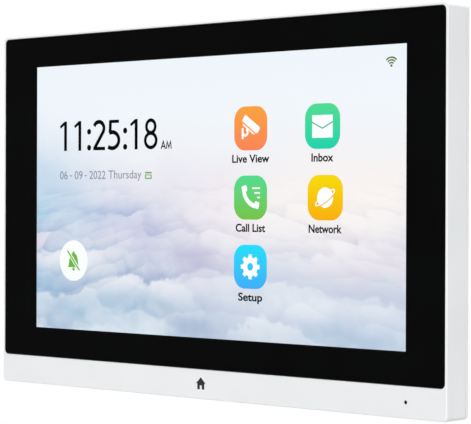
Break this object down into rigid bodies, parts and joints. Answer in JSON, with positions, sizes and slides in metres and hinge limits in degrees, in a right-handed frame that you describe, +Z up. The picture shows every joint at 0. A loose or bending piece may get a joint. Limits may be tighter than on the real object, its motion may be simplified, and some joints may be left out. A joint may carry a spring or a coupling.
{
  "type": "video intercom monitor",
  "caption": "Thin wall-hung indoor intercom monitor: white frame, black-bordered touch screen, chin with a microphone hole, and a steel wall bracket that it hooks onto.",
  "frame": {"origin": "centre of the monitor's outline on the wall plane, which is the rear face of the wall bracket", "axes": "+X along the width, to the right for someone who faces the screen; +Y from the screen towards the wall; +Z up"},
  "size_m": [0.2666, 0.0159, 0.1676],
  "materials": {
    "white_case": "fine satin white",
    "cover_glass": "gloss",
    "black_ink": "printed black",
    "tape": "matt foam tape",
    "clear_film": "clear film",
    "screen": "lit display",
    "white_film": "matt white film",
    "flex": "amber flex circuit",
    "bright_steel": "plated steel",
    "bracket_steel": "zinc plated sheet",
    "gold_foil": "gilt foil",
    "aluminium": "satin",
    "circuit_board": "green solder mask",
    "black_chip": "moulded epoxy",
    "black_plastic": "matt",
    "green_plastic": "moulded green",
    "black_rubber": "matt",
    "thermal_pad": "soft blue-grey",
    "blank_label": "blank paper",
    "wire_jacket": "satin jacket"
  },
  "bodies": {
    "wall_bracket": {"wall_bracket": "bracket_steel"},
    "monitor": {"front_frame": "white_case", "rear_housing": "white_case", "rear_label": "blank_label", "case_screw_1": "bright_steel", "case_screw_2": "bright_steel", "case_screw_3": "bright_steel", "case_screw_4": "bright_steel", "cover_glass": "cover_glass", "glass_mask": "black_ink", "glass_adhesive": "tape", "touch_sensor": "clear_film", "touch_flex": "flex", "lcd_top_chassis": "bright_steel", "lcd_cell": "screen", "lcd_plastic_frame": "white_film", "diffuser_stack": "white_film", "light_guide": "clear_film", "reflector_sheet": "white_film", "led_bar": "white_film", "backlight_tray": "bright_steel", "lcd_driver_board": "circuit_board", "lcd_flex": "flex", "main_board": "circuit_board", "board_screw_1": "bright_steel", "board_screw_2": "bright_steel", "board_screw_3": "bright_steel", "board_screw_4": "bright_steel", "soc_chip": "black_chip", "memory_chip_1": "black_chip", "memory_chip_2": "black_chip", "storage_chip": "black_chip", "wifi_module": "bright_steel", "wifi_antenna": "gold_foil", "antenna_cable": "wire_jacket", "lan_transformer": "black_chip", "power_inductor": "black_chip", "power_capacitor": "aluminium", "clock_cell": "bright_steel", "thermal_pad": "thermal_pad", "heat_spreader": "aluminium", "speaker_connector": "white_film", "microphone_connector": "white_film", "rj45_jack": "bright_steel", "terminal_header": "green_plastic", "card_socket": "bright_steel", "reset_switch": "black_plastic", "speaker_frame": "black_plastic", "speaker_magnet": "bright_steel", "speaker_gasket": "tape", "speaker_cable": "wire_jacket", "microphone": "aluminium", "microphone_boot": "black_rubber", "microphone_cable": "wire_jacket"},
    "terminal_plug": {"terminal_plug": "green_plastic"},
    "memory_card": {"memory_card": "black_plastic"},
    "reset_button": {"reset_button": "white_case"},
    "speaker_cone": {"speaker_cone": "black_rubber"}
  },
  "joints": [
    {"name": "monitor_lift", "type": "slide", "parent": "wall_bracket", "child": "monitor", "axis": [0, 0, 1], "range_m": [0, 0.008]},
    {"name": "terminal_plug_pull", "type": "slide", "parent": "monitor", "child": "terminal_plug", "axis": [0, 0, -1], "range_m": [0, 0.0085]},
    {"name": "memory_card_pull", "type": "slide", "parent": "monitor", "child": "memory_card", "axis": [0, 0, -1], "range_m": [0, 0.012]},
    {"name": "reset_press", "type": "slide", "parent": "monitor", "child": "reset_button", "axis": [0, 0, 1], "range_m": [0, 0.0003], "stiffness_N_per_m": 5000, "springref_m": -0.0001},
    {"name": "speaker_stroke", "type": "slide", "parent": "monitor", "child": "speaker_cone", "axis": [0, 0, 1], "range_m": [-0.0005, 0.0005], "stiffness_N_per_m": 1500}
  ]
}
